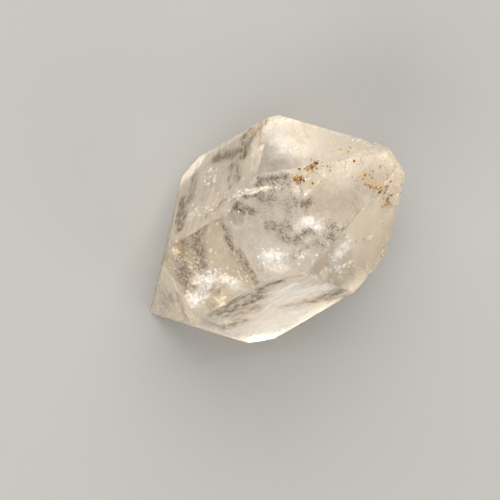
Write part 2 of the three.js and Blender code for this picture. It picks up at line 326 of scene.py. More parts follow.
# Painted light: strokes where the body is painted paler, with less haze, warmth and painted dark, for
# bright sheen and glints.
PAINTED_LIGHT_STROKES = [
    ("upper 0", 0.7, 1.7, 1.5, 2.5, 0.7, 1.0),
    ("upper 0", 1.8, -2.6, 2.2, -1.8, 0.8, 1.0),
    ("upper 60", 0.0, 1.4, 0.5, 2.3, 0.8, 1.0),
    ("prism 0", 0.8, -3.6, 2.2, -5.9, 0.8, 0.9),
    ("prism 0", 0.8, -2.8, 3.0, -1.2, 0.6, 0.6),
    ("prism 60", -2.4, 0.2, 1.2, 3.6, 0.9, 1.0),
    ("prism 60", 3.0, -5.4, 4.0, -3.0, 1.0, 1.0),
    ("upper 300", -4.0, -0.6, -1.2, 1.4, 1.2, 0.45),
]
# Painted shade: strokes where the body is painted darker, over places that the lamps light too brightly.
PAINTED_SHADE_STROKES = [
    ("upper 0", -0.2, 4.0, 1.2, 6.0, 1.4, 0.85),
    ("upper 0", 0.4, 9.0, 1.2, 9.6, 1.6, 0.95),
    ("upper 300", -4.6, 2.6, -2.6, 5.0, 1.6, 0.3),
]
STAINS = [
    ("upper 0", -2.95, 3.0, -2.6, 3.5, 0.3, 1.0),
    ("upper 0", -3.2, 4.4, -3.0, 5.0, 0.35, 0.9),
    ("upper 0", -1.8, 3.9, -1.7, 4.4, 0.2, 0.7),
    ("upper 0", -2.3, 6.0, -1.8, 7.0, 0.22, 0.65),
    ("upper 0", -1.9, 8.0, -1.7, 8.8, 0.2, 0.55),
    ("upper 0", -2.6, 3.9, -1.4, 5.2, 0.5, 0.25),
    ("upper 0", -0.4, 8.3, 1.5, 9.2, 0.3, 0.6),
    ("upper 0", -0.5, 7.4, 0.8, 9.8, 0.9, 0.1),
    ("upper 0", -0.3, 8.5, -0.1, 8.8, 0.15, 0.8),
    ("upper 300", -2.1, 5.4, -1.6, 6.4, 0.22, 0.5),
    ("upper 300", -2.4, 7.9, -1.5, 8.5, 0.15, 0.7),
    ("upper 300", -1.2, 6.4, -1.5, 7.2, 0.2, 0.4),
    ("upper 60", 1.2, 8.0, 1.4, 8.7, 0.3, 0.6),
    ("upper 60", 2.9, 7.4, 2.4, 6.8, 0.3, 0.7),
    ("upper 60", 2.5, 8.2, 2.6, 9.4, 0.4, 0.35),
    ("upper 60", -2.4, -1.0, -1.8, 0.5, 0.18, 0.6),
    ("prism 0", -3.3, -4.3, -2.4, -4.7, 0.35, 0.6),
    ("prism 0", -2.0, -4.0, -1.0, -4.4, 0.5, 0.35),
    ("prism 0", -3.3, 0.7, -3.0, 1.0, 0.3, 0.6),
    ("prism 60", -4.4, -4.4, -4.2, -4.0, 0.15, 0.8),
    ("prism 60", -1.8, -5.2, -1.5, -4.2, 0.25, 0.7),
    ("prism 60", -1.5, -3.2, -1.3, -2.8, 0.2, 0.6),
    ("prism 60", -3.7, 0.0, -3.5, 0.4, 0.2, 0.6),
    ("upper 60", 3.9, -3.0, 4.6, 7.0, 0.5, 0.22),
    ("prism 300", -6.0, 2.0, -6.2, -3.0, 0.6, 0.2),
    ("prism 300", -4.5, -5.2, 0.0, -6.4, 0.6, 0.2),
]
FACE_STEP = 11.7  # keeps the patterns of two faces apart


def keep(name, kind, domain, values):
    """Stores values on the crystal's points or corners, for its material to read."""
    stored = mesh.attributes.new(name, kind, domain)
    field = "vector" if kind == "FLOAT_VECTOR" else "value"
    stored.data.foreach_set(field, values.astype(np.float32).ravel())


looks = np.array([FACE_LOOKS.get(name, OTHER_FACES) for name in FACES])
frosts, shades, painted_dark_covers, streakiness, warmths = looks.T
etched, painted_dark, painted_light, painted_shade, stained = (
    strokes_at(strokes, face, *drawn) for strokes in (ETCHED, PAINTED_DARK_STROKES, PAINTED_LIGHT_STROKES, PAINTED_SHADE_STROKES, STAINS)
)
keep("etched", "FLOAT", "POINT", np.maximum(etched, worn))
keep("stain", "FLOAT", "POINT", stained)
# The painted light, less the painted shade.
keep("clear", "FLOAT", "POINT", painted_light - painted_shade)
# The painted dark reflections, all over each face and in strokes.
keep("painted_dark_cover", "FLOAT", "POINT", np.maximum(painted_dark_covers[face], painted_dark))
middles = np.empty(len(mesh.polygons) * 3, np.float32)
mesh.polygons.foreach_get("center", middles)
middles = middles.reshape(-1, 3).astype(float) / MM
middle_face = nearest_face(middles)[0]
corner = squares.ravel()
corner_face = np.repeat(middle_face, 4)
corner_across, corner_up = on_face(places[corner], corner_face)
along = corner_face == LENGTHWISE
slow = np.where(along, corner_up, corner_across)
fast = np.where(along, corner_across, corner_up)
keep("grain", "FLOAT_VECTOR", "CORNER", np.stack([slow, fast, corner_face * FACE_STEP], 1))
keep("streaky", "FLOAT", "CORNER", streakiness[corner_face])
keep("frost", "FLOAT", "CORNER", frosts[corner_face])
# Painted shade for each face, or painted light where below 0.
keep("shade", "FLOAT", "CORNER", shades[corner_face])
keep("warmth", "FLOAT", "CORNER", warmths[corner_face])


def shader_node(tree, kind, inputs=None, **settings):
    """A new shader node. An input given as a socket is linked to it."""
    made = tree.nodes.new("ShaderNode" + kind)
    for name, value in settings.items():
        setattr(made, name, value)
    for name, value in (inputs or {}).items():
        if isinstance(value, bpy.types.NodeSocket):
            tree.links.new(value, made.inputs[name])
        else:
            made.inputs[name].default_value = value
    return made


def noise_node(tree, at, scale, detail=4.0, roughness=0.6):
    """Noise that is stretched by a scale along each axis."""
    stretched = shader_node(tree, "Mapping", {"Vector": at, "Scale": scale}).outputs["Vector"]
    inputs = {"Vector": stretched, "Scale": 1.0, "Detail": detail, "Roughness": roughness}
    return shader_node(tree, "TexNoise", inputs).outputs["Fac"]


def ranged(tree, value, low, high, to_low=0.0, to_high=1.0):
    """A value moved from one range to another, and held within it."""
    inputs = {"Value": value, "From Min": low, "From Max": high, "To Min": to_low, "To Max": to_high}
    return shader_node(tree, "MapRange", inputs).outputs["Result"]


def maths(tree, operation, first, second):
    """One step of arithmetic on two values."""
    return shader_node(tree, "Math", {0: first, 1: second}, operation=operation).outputs[0]


def mixed(tree, share, first, second, blend="MIX"):
    """One colour laid over another."""
    inputs = {0: share, 6: first, 7: second}
    return shader_node(tree, "Mix", inputs, data_type="RGBA", blend_type=blend).outputs[2]


BODY_COLOUR = (1, 0.98, 0.94, 1)
# The colour that haze and painted shade darken the body towards.
BODY_SHADE = (0.52, 0.47, 0.4, 1)
WARM_TINT = (0.98, 0.8, 0.52, 1)
# The colour of the painted dark reflections.
PAINTED_DARK_COLOUR = (0.055, 0.03, 0.01, 1)
# The colour of the painted shade halo round the painted dark reflections.
PAINTED_HALO_COLOUR = (0.34, 0.24, 0.14, 1)
GOLD_STAIN = (0.66, 0.43, 0.12, 1)
BROWN_STAIN = (0.2, 0.06, 0.012, 1)
TRANSMISSION = 0.9
QUARTZ_IOR = 1.544
WARM_HAZE = {"Color": (0.99, 0.96, 0.92, 1), "Density": 80}
PATTERNS = {
    # scale along the striations, over them and by face, then detail and roughness
    "lines": ((0.7, 7.0, 1.0), 5.0, 0.65),
    "specks": ((5.0, 5.0, 1.0), 4.0, 0.7),
    "patches": ((0.45, 0.45, 1.0), 4.0, 0.6),
    "streaks": ((1.0, 6.5, 1.0), 3.0, 0.65),
    "granules": ((6.0, 6.5, 1.0), 3.0, 0.8),
    "gaps": ((1.5, 1.7, 1.0), 4.0, 0.7),
    "haze": ((0.9, 1.1, 1.0), 6.0, 0.75),
    "blotches": ((3.0, 3.0, 1.0), 4.0, 0.75),
}
CRUMB_CELLS = (6.0, 6.0, 1.0)
BUMP = {"Strength": 0.6, "Distance": 0.06 * MM}
PLAIN_SPECKS = 0.7
ETCHED_SPECKS = 1.4
ETCHED_FROST = 0.15
GRANULE_SHARE = 0.6
# How far the painted dark reflections spread and how soft their edges are.
PAINTED_DARK_REACH = 0.14
PAINTED_DARK_FROM = 0.55
PAINTED_DARK_SOFTNESS = (0.11, 0.19)  # on a face without streaks, and on a streaky one
PAINTED_LIGHT_OVER_DARK = 0.8
PAINTED_HALO_TEXTURE = 0.8
# Each of these is the range that a value is taken from, and the one it is moved to where not 0 to 1.
PATCHY_FROST = (0.4, 0.62, 0.0, 0.2)
CRUMBS = (0.0, 0.6, 0.4, 0.1)
BROKEN_PAINTED_DARK = (0.36, 0.6, 0.3, 1.15)
PAINTED_DARK_COVER_RANGE = (0.0, 0.5)
UNEVEN_HAZE = (0.38, 0.62, -0.4, 0.4)
STREAKY_HAZE = (0.0, 1.0, 0.5, 1.3)
PAINTED_HALO = (0.42, 1.25, 0.0, 0.85)
BLOTCHY_STAIN = (0.35, 0.65, -0.4, 0.4)
GRITTY_STAIN = (0.36, 0.56, 0.3, 1.0)
GOLDEN = (0.05, 0.6)
BROWN = (0.7, 1.2)
quartz = bpy.data.materials.new("quartz")
quartz.use_nodes = True
tree = quartz.node_tree
surface = tree.nodes["Principled BSDF"]
# Among these are the painted light and shade, per face and in strokes, and the painted dark reflections.
grain, frost, shade, warmth, clear, etched, painted_dark_cover, stain, streaky = (
    shader_node(tree, "Attribute", attribute_name=name).outputs["Vector" if name == "grain" else "Fac"]
    for name in ("grain", "frost", "shade", "warmth", "clear", "etched", "painted_dark_cover", "stain", "streaky")
)
pattern = {name: noise_node(tree, grain, *values) for name, values in PATTERNS.items()}

# Fine striations and tiny pits, and the polish: frosty in patches and where the face is etched.
pitted = maths(tree, "ADD", maths(tree, "MULTIPLY", etched, ETCHED_SPECKS), PLAIN_SPECKS)
specks = maths(tree, "MULTIPLY", pattern["specks"], pitted)
line_normal = shader_node(tree, "Bump", {"Height": pattern["lines"], **BUMP}).outputs[0]
speck_normal = shader_node(tree, "Bump", {"Height": specks, **BUMP, "Normal": line_normal}).outputs[0]
rough = maths(tree, "ADD", frost, ranged(tree, pattern["patches"], *PATCHY_FROST))
rough = maths(tree, "ADD", rough, maths(tree, "MULTIPLY", etched, ETCHED_FROST))
tree.links.new(rough, surface.inputs["Roughness"])
tree.links.new(speck_normal, surface.inputs["Normal"])

# Painted dark reflections of the ground seen through the crystal: broken into granules or into streaks,
# and taken away where light is painted.
crumb_places = shader_node(tree, "Mapping", {"Vector": grain, "Scale": CRUMB_CELLS}).outputs["Vector"]
crumbs = shader_node(tree, "TexVoronoi", {"Vector": crumb_places, "Scale": 1.0}).outputs["Distance"]
granular = maths(tree, "MULTIPLY", pattern["granules"], GRANULE_SHARE)
granular = maths(tree, "ADD", granular, ranged(tree, crumbs, *CRUMBS))
texture = {0: streaky, 2: granular, 3: pattern["streaks"]}
texture = shader_node(tree, "Mix", texture, data_type="FLOAT").outputs[0]
whole = ranged(tree, pattern["gaps"], *BROKEN_PAINTED_DARK)
# Where light is painted, the painted dark is taken away.
whole = maths(tree, "SUBTRACT", whole, maths(tree, "MULTIPLY", clear, PAINTED_LIGHT_OVER_DARK))
painted_dark_cover = maths(tree, "MULTIPLY", painted_dark_cover, whole)
painted_dark_full = ranged(tree, streaky, 0.0, 1.0, *(PAINTED_DARK_FROM + softness for softness in PAINTED_DARK_SOFTNESS))
painted_dark_mask = maths(tree, "ADD", texture, maths(tree, "MULTIPLY", painted_dark_cover, PAINTED_DARK_REACH))
painted_dark_mask = ranged(tree, painted_dark_mask, PAINTED_DARK_FROM, painted_dark_full)
painted_dark_mask = maths(tree, "MULTIPLY", painted_dark_mask, ranged(tree, painted_dark_cover, *PAINTED_DARK_COVER_RANGE))

# The body: paler where light is painted, shaded by uneven haze and by painted shade, warm in places, and
# with a painted shade halo round the painted dark reflections.
haze_and_painted_shade = ranged(tree, pattern["haze"], *UNEVEN_HAZE)
haze_and_painted_shade = maths(tree, "MULTIPLY", haze_and_painted_shade, ranged(tree, streaky, *STREAKY_HAZE))
# Uneven haze, plus the painted shade of each face and of the strokes, less the painted light.
haze_and_painted_shade = maths(tree, "SUBTRACT", maths(tree, "ADD", haze_and_painted_shade, shade), clear)
# Painted light also takes away the warmth.
warmth = maths(tree, "SUBTRACT", warmth, ranged(tree, clear, 0.0, 1.0))
body = mixed(tree, haze_and_painted_shade, BODY_COLOUR, BODY_SHADE)
body = mixed(tree, warmth, body, WARM_TINT, "MULTIPLY")
# A painted shade halo round the painted dark reflections.
painted_halo = maths(tree, "ADD", painted_dark_cover, maths(tree, "MULTIPLY", texture, PAINTED_HALO_TEXTURE))
body = mixed(tree, ranged(tree, painted_halo, *PAINTED_HALO), body, PAINTED_HALO_COLOUR)
# The painted dark reflections laid over the body.
tint = mixed(tree, painted_dark_mask, body, PAINTED_DARK_COLOUR)

# The iron stains: golden where they are thin and gritty, and brown where they are thick.
blotchy = ranged(tree, pattern["blotches"], *BLOTCHY_STAIN)
rusty = maths(tree, "MULTIPLY", maths(tree, "ADD", blotchy, 1.0), stain)
gritty = maths(tree, "MULTIPLY", rusty, ranged(tree, granular, *GRITTY_STAIN))
tint = mixed(tree, ranged(tree, gritty, *GOLDEN), tint, GOLD_STAIN)
tint = mixed(tree, ranged(tree, rusty, *BROWN), tint, BROWN_STAIN)
tree.links.new(tint, surface.inputs["Base Color"])
surface.inputs["Transmission Weight"].default_value = TRANSMISSION
surface.inputs["IOR"].default_value = QUARTZ_IOR
absorb = shader_node(tree, "VolumeAbsorption", WARM_HAZE)
tree.links.new(absorb.outputs["Volume"], tree.nodes["Material Output"].inputs["Volume"])
mesh.materials.clear()
mesh.materials.append(quartz)
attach(crystal, "root")
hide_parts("crystal")

# ---- The inner clouds ----
# Part-healed cracks and tiny liquid-filled bubbles inside the crystal, which show as white clouds,
# wisps and specks. Each cloud is a swarm of thin flakes close under a face.

CLOUDS = [
    # face, from (across, up), to (across, up), half width, cover, depth
    ("upper 0", 2.4, 1.15, 2.45, 1.25, 0.16, 2.2, 0.5),
    ("upper 0", 2.8, -2.6, 3.4, -1.6, 0.6, 0.5, 0.8),
    ("upper 0", 0.9, 0.6, 1.4, 1.6, 0.5, 0.4, 0.6),
    ("prism 0", -2.8, -5.4, -2.2, -5.0, 0.35, 0.8, 0.5),
    ("prism 60", 2.0, -5.0, 3.4, -1.5, 0.7, 1.0, 0.7),
    ("upper 300", -5.1, 2.3, -4.2, 4.1, 0.6, 0.4, 0.7),
    ("upper 300", -2.4, 7.0, -2.2, 8.2, 0.6, 0.4, 0.5),
    ("upper 0", -2.0, 7.0, 0.0, 10.4, 1.0, 0.3, 0.4),
    ("upper 300", -3.4, -0.2, -1.0, 1.6, 0.9, 0.4, 0.4),
]
WISPS = [
    # face, across from and to, up from and to, number of wisps, length across, length up
    ("prism 60", -2.5, 4.0, -5.5, 4.0, 46, 0.1, 1.4),
    ("upper 60", -1.6, 2.2, -1.4, 0.4, 20, 0.8, 0.12),
    ("prism 300", -3.5, 3.5, -5.0, 4.5, 36, 1.0, 0.12),
    ("prism 0", -2.5, 3.2, -6.0, -0.5, 16, 0.5, 0.1),
    ("upper 0", -3.6, 2.6, -2.5, 5.0, 14, 0.4, 0.2),
    ("lower 0", -3.5, 3.5, 1.0, 6.0, 16, 0.4, 0.5),
]
SPARKS = {  # how many lone specks there are under each face
    "upper 0": 260,
    "prism 0": 200,
    "upper 60": 90,
    "prism 60": 160,
    "prism 300": 160,
    "lower 0": 80,
    "upper 300": 60,
}
CLOUD_COLOUR = (0.95, 0.93, 0.9, 1)
CLOUD_ROUGHNESS = 0.5
SPARK = 0.05  # radius of a lone speck
SPARK_SPREAD = 0.2
WISP_WIDTH = 0.035
WISP_DEPTH = 0.25
WISP_LENGTHS = (-0.3, 0.5)  # mean and spread of the logarithm of a wisp's length over its row's
FLAKE = 0.034  # radius
FLAKE_THICKNESS = 0.2  # over its radius
FLAKE_VARIATION = 0.35
FLAKE_SPREAD = 0.15
SWARM_NARROWING = 1.6  # half width over the spread of the flakes
SWARM_THICKNESS = 0.15
SWARM_INSIDE = 0.15  # how far under the surface the flakes of a swarm stay
GAP_SCALE = 2.6
GAP_UNDER = -0.12  # a swarm has gaps where slow noise is under this
HALF_FACE = (8, 13)  # across and up, more than the largest face
SCATTER_TRIES = 6  # places tried for each one that is wanted
SCATTER_DEPTHS = (0.1, 0.5)
SCATTER_INSIDE = 0.1
chance = np.random.default_rng(11)
bpy.ops.mesh.primitive_cone_add(vertices=3, radius1=1, radius2=0, depth=FLAKE_THICKNESS)
flake = bpy.context.object
flake_points = np.array([v.co for v in flake.data.vertices])
flake_faces = np.array([p.vertices[:] for p in flake.data.polygons])
bpy.data.objects.remove(flake)


def turned_towards(way, spread, count):
    """Turns, as matrices, whose third axes are scattered round a direction."""
    third = way + chance.normal(size=(count, 3)) * spread
    third /= np.linalg.norm(third, axis=1)[:, None]
    first = np.cross(third, chance.normal(size=(count, 3)))
    first /= np.linalg.norm(first, axis=1)[:, None]
    return np.stack([first, np.cross(third, first), third], 2)


def places_at(name, across, up, height):
    """The places at these distances across and up a face, and over it."""
    index = FACES.index(name)
    on_plane = FEET[index] + np.outer(across, ACROSSES[index]) + np.outer(up, UPS[index])
    return on_plane + np.outer(height, NORMALS[index])


def height_over(points):
    """How far each point lies over the crystal's softened surface."""
    return nearest_face(points)[1] + soften(points)[0]


def flakes(centre, size, way, spread):
    """The corners of a flake at each centre, each turned round a direction."""
    sizes = size * chance.lognormal(0, FLAKE_VARIATION, len(centre))
    turns = turned_towards(way, spread, len(centre))
    corners = flake_points[None] * sizes[:, None, None]
    return centre[:, None] + np.einsum("nij,nkj->nki", turns, corners)


def swarm(name, x0, y0, x1, y1, width, cover, depth, way=None, spread=FLAKE_SPREAD):
    """The corners of the flakes in one cloud, round a line at a depth under a face."""
    area = (math.hypot(x1 - x0, y1 - y0) + width) * width * 2
    number = int(cover * area / (FLAKE * FLAKE))
    share = chance.random(number)
    half = width / SWARM_NARROWING
    offset = chance.normal(size=(number, 3)) * (half, half, SWARM_THICKNESS)
    centre = places_at(
        name,
        x0 + share * (x1 - x0) + offset[:, 0],
        y0 + share * (y1 - y0) + offset[:, 1],
        -depth + np.minimum(offset[:, 2], depth / 2),
    )
    filled = noise_at(centre, GAP_SCALE) > GAP_UNDER
    centre = centre[(height_over(centre) < -SWARM_INSIDE) & filled]
    return flakes(centre, FLAKE, NORMALS[FACES.index(name)] if way is None else way, spread)


def wisps():
    """Thin short clouds, scattered over the regions in WISPS along the grain of each face."""
    for name, x0, x1, y0, y1, number, length_across, length_up in WISPS:
        middles_across = chance.uniform(x0, x1, number)
        middles_up = chance.uniform(y0, y1, number)
        for x, y, part in zip(middles_across, middles_up, chance.lognormal(*WISP_LENGTHS, number)):
            dx, dy = part * length_across / 2, part * length_up / 2 * chance.choice([-1, 1])
            yield name, x - dx, y - dy, x + dx, y + dy, WISP_WIDTH, 1.0, WISP_DEPTH


def scattered(name, number):
    """Places all over a face, close under it."""
    tries = SCATTER_TRIES * number
    half_across, half_up = HALF_FACE
    across = chance.uniform(-half_across, half_across, tries)
    up = chance.uniform(-half_up, half_up, tries)
    centre = places_at(name, across, up, -chance.uniform(*SCATTER_DEPTHS, tries))
    return centre[height_over(centre) < -SCATTER_INSIDE][:number]


def plain(name, colour, roughness, metallic=0.0):
    """A material that is the same all over."""
    made = bpy.data.materials.new(name)
    made.use_nodes = True
    surface = made.node_tree.nodes["Principled BSDF"]
    surface.inputs["Base Color"].default_value = colour
    surface.inputs["Roughness"].default_value = roughness
    surface.inputs["Metallic"].default_value = metallic
    return made


def joined(name, points, shape_faces, material):
    """One piece made of many copies of a small shape."""
    faces = shape_faces[None] + np.arange(len(points))[:, None, None] * points.shape[1]
    made = bpy.data.meshes.new(name)
    made.from_pydata((points.reshape(-1, 3) * MM).tolist(), [], faces.reshape(-1, 3).tolist())
    made.materials.append(material)
    piece = bpy.data.objects.new(name, made)
    bpy.context.scene.collection.objects.link(piece)
    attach(piece, "root")
    return piece


points = [swarm(*place) for place in [*CLOUDS, *wisps()]]
for name, number in SPARKS.items():
    points.append(flakes(scattered(name, number), SPARK, NORMALS[FACES.index(name)], SPARK_SPREAD))
cloud = plain("cloud", CLOUD_COLOUR, CLOUD_ROUGHNESS)
clouds = joined("inner_clouds", np.concatenate(points), flake_faces, cloud)

# ---- The bright cracks ----
# Open cracks and cleavage steps inside the crystal, so thin that they mirror the light like foil. The
# flakes of the cracks under one face lie nearly the same way, so a whole crack lights up at once.

CRACKS = [
    ("upper 0", 0.75, 1.8, 1.1, 2.4, 0.33, 3.8, 0.6),
    ("upper 0", 1.5, 2.3, 1.9, 2.9, 0.3, 1.0, 0.9),
    ("upper 0", 1.8, -2.6, 2.2, -1.8, 0.36, 4.2, 0.6),
    ("upper 0", 2.7, -3.2, 3.3, -2.2, 0.3, 0.9, 0.5),
    ("upper 0", 3.0, -0.6, 3.3, 0.6, 0.16, 1.0, 0.4),
    ("upper 0", -4.2, -1.4, -3.9, -0.5, 0.13, 2.2, 0.24),
    ("upper 0", -3.8, -0.3, -3.2, 1.1, 0.1, 2.0, 0.24),
    ("upper 0", -2.1, 2.4, -1.9, 2.8, 0.12, 1.6, 0.3),
    ("upper 0", -2.6, 3.7, -2.1, 4.3, 0.14, 1.4, 0.3),
    ("upper 0", -2.5, 5.0, -2.4, 5.4, 0.12, 1.4, 0.3),
    ("upper 0", -1.2, 7.6, -0.3, 9.3, 0.25, 0.8, 0.3),
    ("upper 300", -1.7, 5.3, -0.8, 6.8, 0.25, 0.5, 0.3),
    ("upper 300", -2.0, 6.0, -1.8, 7.2, 0.16, 0.8, 0.3),
    ("upper 60", 0.1, 1.4, 0.5, 2.2, 0.4, 3.4, 0.4),
    ("upper 60", 1.9, 0.9, 2.2, 1.3, 0.16, 1.6, 0.3),
    ("upper 60", -0.9, -0.6, 1.2, 0.3, 0.16, 1.2, 0.3),
    ("prism 0", 0.9, -3.6, 1.5, -3.0, 0.3, 1.4, 0.4),
    ("prism 0", 1.9, -6.1, 2.1, -5.8, 0.2, 2.0, 0.3),
    ("prism 0", 0.2, -5.3, 1.0, -4.2, 0.3, 0.9, 0.35),
    ("prism 0", 1.6, -2.4, 2.5, -1.4, 0.3, 0.6, 0.35),
    ("prism 0", 2.2, -5.4, 2.6, -3.9, 0.3, 0.7, 0.35),
    ("prism 60", -2.4, 0.2, -2.0, 2.4, 0.26, 3.2, 0.26),
    ("prism 60", -1.0, 0.8, 1.1, 3.4, 0.36, 3.6, 0.25),
    ("prism 60", -0.7, -1.4, 0.4, 1.4, 0.26, 2.4, 0.26),
    ("prism 60", 1.4, -1.8, 2.6, 1.2, 0.4, 2.0, 0.3),
    ("prism 60", 3.0, -5.4, 4.0, -3.4, 0.5, 1.6, 0.5),
    ("lower 0", -2.5, 0.5, -1.2, 0.4, 0.2, 0.8, 0.35),
]
GLINTS = {"upper 0": 90, "prism 0": 110, "prism 60": 110, "prism 300": 90, "lower 0": 60}
CRACKS_FACE = {  # the way in which the cracks under each face lie
    "upper 0": (0.03, 0.17, 0.98),
    "upper 300": (0.1, 0.35, 0.93),
    "upper 60": (0.08, -0.28, 0.96),
    "prism 0": (-0.28, 0.03, 0.96),
    "prism 300": (-0.08, 0.67, 0.73),
    "prism 60": (-0.46, -0.56, 0.69),
    "lower 0": (-0.6, -0.1, 0.79),
}
CRACK_COLOUR = (0.98, 0.96, 0.93, 1)
CRACK_ROUGHNESS = 0.4
CRACK_SHINE = 0.85
CRACK_SPREAD = 0.12
GLINT = 0.05  # radius of a lone glint
GLINT_SPREAD = 0.1
points = [swarm(*place, np.array(CRACKS_FACE[place[0]]), CRACK_SPREAD) for place in CRACKS]
for name, number in GLINTS.items():
    points.append(flakes(scattered(name, number), GLINT, np.array(CRACKS_FACE[name]), GLINT_SPREAD))
crack = plain("crack", CRACK_COLOUR, CRACK_ROUGHNESS, CRACK_SHINE)
cracks = joined("bright_cracks", np.concatenate(points), flake_faces, crack)

# ---- The frosting ----
# White grains where the surface is etched, bruised or broken into tiny steps: along the ledges, in the
# hollow near the upper tip, and near the lower one. Each is a small chip just under the surface.

FROSTING = [
    ("upper 0", -4.5, -1.8, -4.1, -0.9, 0.35, 1.2),
    ("upper 0", -4.1, -0.9, -3.1, 1.2, 0.22, 1.1),
    ("upper 0", -3.0, 2.8, -1.2, 3.6, 0.5, 0.8),
    ("upper 0", -2.4, 3.8, -1.4, 5.4, 0.5, 0.8),
    ("upper 0", -1.8, 6.6, -1.0, 8.6, 0.6, 0.8),
    ("upper 0", -0.8, 8.2, 0.4, 10.0, 0.7, 0.8),
    ("upper 0", -2.4, 8.2, -2.0, 9.6, 0.4, 0.5),
    ("upper 0", 0.4, 1.4, 1.9, 2.8, 0.6, 0.35),
    ("upper 0", 1.4, -3.4, 2.8, -1.2, 0.7, 0.35),
    ("upper 0", 2.6, -0.8, 3.4, 0.8, 0.4, 0.3),
    ("upper 300", -2.6, -1.0, -2.2, 0.6, 0.14, 0.8),
    ("upper 300", -1.8, 5.2, -1.0, 8.6, 0.5, 0.5),
    ("upper 60", -0.5, 1.0, 1.0, 2.6, 0.6, 0.4),
    ("upper 60", -1.4, -1.2, 2.4, 1.0, 0.5, 0.45),
    ("prism 300", -1.3, 3.1, -2.0, 4.3, 0.25, 1.2),
    ("prism 300", 3.2, 1.8, 3.6, 2.6, 0.35, 1.1),
    ("prism 300", -3.2, -2.2, -0.8, -2.2, 0.3, 0.5),
    ("prism 300", 2.2, -3.2, 3.2, -1.2, 0.6, 0.5),
    ("prism 0", 0.6, -4.4, 2.4, -1.0, 0.8, 0.9),
    ("prism 0", 1.6, -6.2, 3.2, -3.6, 0.8, 0.9),
    ("prism 0", -1.6, -5.2, -0.6, -3.0, 0.6, 0.3),
    ("prism 60", -4.6, -5.0, -2.6, 0.0, 0.8, 0.3),
    ("prism 60", -2.6, 0.2, 1.4, 3.6, 0.5, 0.4),
    ("prism 60", 2.0, -5.4, 3.8, -2.0, 0.8, 0.4),
]
CHIP = 0.085  # radius
CHIP_DEPTHS = (0.05, 0.1)
CHIP_SPREAD = 0.25
CLUMP_SCALE = 2.2
CLUMP_FRACTAL = (1.0, 2.0, 3)  # fractal dimension, step from octave to octave, octaves
CLUMP_MIDDLE = 0.7
CLUMP_CONTRAST = 2.2
FEWEST = 0.05
frosted = strokes_at(FROSTING, middle_face, *drawn_at(middles, middle_face))
clumped = np.array([noise.fractal(Vector(p * CLUMP_SCALE), *CLUMP_FRACTAL) for p in middles])
frosted *= np.clip(CLUMP_MIDDLE + CLUMP_CONTRAST * clumped, FEWEST, 1)
chosen = chance.random(len(middles)) < frosted
outward = np.empty(len(mesh.polygons) * 3, np.float32)
mesh.polygons.foreach_get("normal", outward)
outward = outward.reshape(-1, 3)
shallow, deep = CHIP_DEPTHS
chip_depths = shallow + (deep - shallow) * chance.random(len(middles))
chips = flakes(middles - outward * chip_depths[:, None], CHIP, outward, CHIP_SPREAD)[chosen]
frosting = joined("frosting", chips, flake_faces, cloud)

# ---- The iron oxide ----
# Earthy grains of iron oxide, gold-brown to black, that settled in the pits and in the hollow near
# the upper tip. They are lumps up to about half a millimetre across, stuck to the face.

GRAINS = [
    # face, across, up, half spread, number, size
    ("upper 0", -2.9, 2.95, 0.14, 7, 0.075),
    ("upper 0", -2.75, 3.15, 0.2, 10, 0.07),
    ("upper 0", -2.6, 3.45, 0.16, 8, 0.08),
    ("upper 0", -2.7, 3.2, 0.35, 8, 0.04),
    ("upper 0", -3.1, 4.6, 0.2, 10, 0.06),
    ("upper 0", -3.0, 4.85, 0.26, 12, 0.06),
    ("upper 300", 0.15, 4.2, 0.2, 10, 0.06),
    ("upper 0", -3.3, 4.9, 0.4, 12, 0.045),
    ("upper 0", -2.85, 5.6, 0.22, 4, 0.05),
    ("upper 0", -3.3, 3.6, 0.1, 2, 0.05),
    ("upper 0", -1.8, 4.1, 0.08, 3, 0.09),
    ("upper 0", -2.3, 6.1, 0.12, 4, 0.06),
    ("upper 0", -2.05, 6.1, 0.08, 2, 0.06),
    ("upper 300", -1.75, 6.2, 0.08, 3, 0.06),
    ("upper 300", -2.1, 7.1, 0.1, 2, 0.05),
    ("upper 300", -1.5, 6.9, 0.1, 2, 0.05),
    ("upper 0", -1.9, 8.3, 0.1, 3, 0.06),
    ("upper 0", -0.2, 8.6, 0.1, 3, 0.08),
    ("upper 0", -0.2, 7.6, 0.06, 1, 0.06),
    ("upper 0", 0.8, 8.5, 0.05, 2, 0.06),
    ("upper 0", 1.2, 8.7, 0.15, 5, 0.07),
    ("upper 0", 1.5, 9.1, 0.1, 3, 0.06),
    ("upper 60", 1.2, 8.1, 0.1, 4, 0.08),
    ("upper 60", 1.4, 8.6, 0.1, 3, 0.06),
    ("upper 60", 2.5, 8.2, 0.1, 3, 0.08),
    ("upper 60", 2.5, 7.5, 0.12, 4, 0.07),
    ("upper 60", 2.9, 7.25, 0.1, 4, 0.08),
    ("upper 60", 1.8, 7.5, 0.06, 2, 0.06),
    ("upper 60", 2.5, 7.0, 0.1, 2, 0.06),
    ("upper 60", 1.7, 9.3, 0.15, 3, 0.05),
    ("upper 0", 0.8, 10.3, 0.1, 2, 0.05),
    ("upper 0", -0.1, 10.4, 0.12, 3, 0.05),
    ("upper 0", 0.6, 8.6, 0.8, 26, 0.045),
    ("upper 60", 2.0, 7.9, 0.6, 20, 0.045),
    ("upper 0", -2.2, 7.4, 0.7, 6, 0.03),
    ("prism 60", -4.3, -4.2, 0.08, 2, 0.05),
    ("prism 60", -1.7, -4.8, 0.2, 4, 0.05),
    ("prism 0", -2.9, -4.4, 0.3, 6, 0.04),
]
LUMP_VARIATION = 0.4
LUMP_ROUGHNESS = 0.9
LUMP_NOISE_SCALE = 1.6
LUMP_STEP = 9.7  # from one lump's noise to the next one's
LUMP_WIDTHS = (0.6, 1)
LUMP_HEIGHT = 0.45
LUMP_SPREAD = 0.05
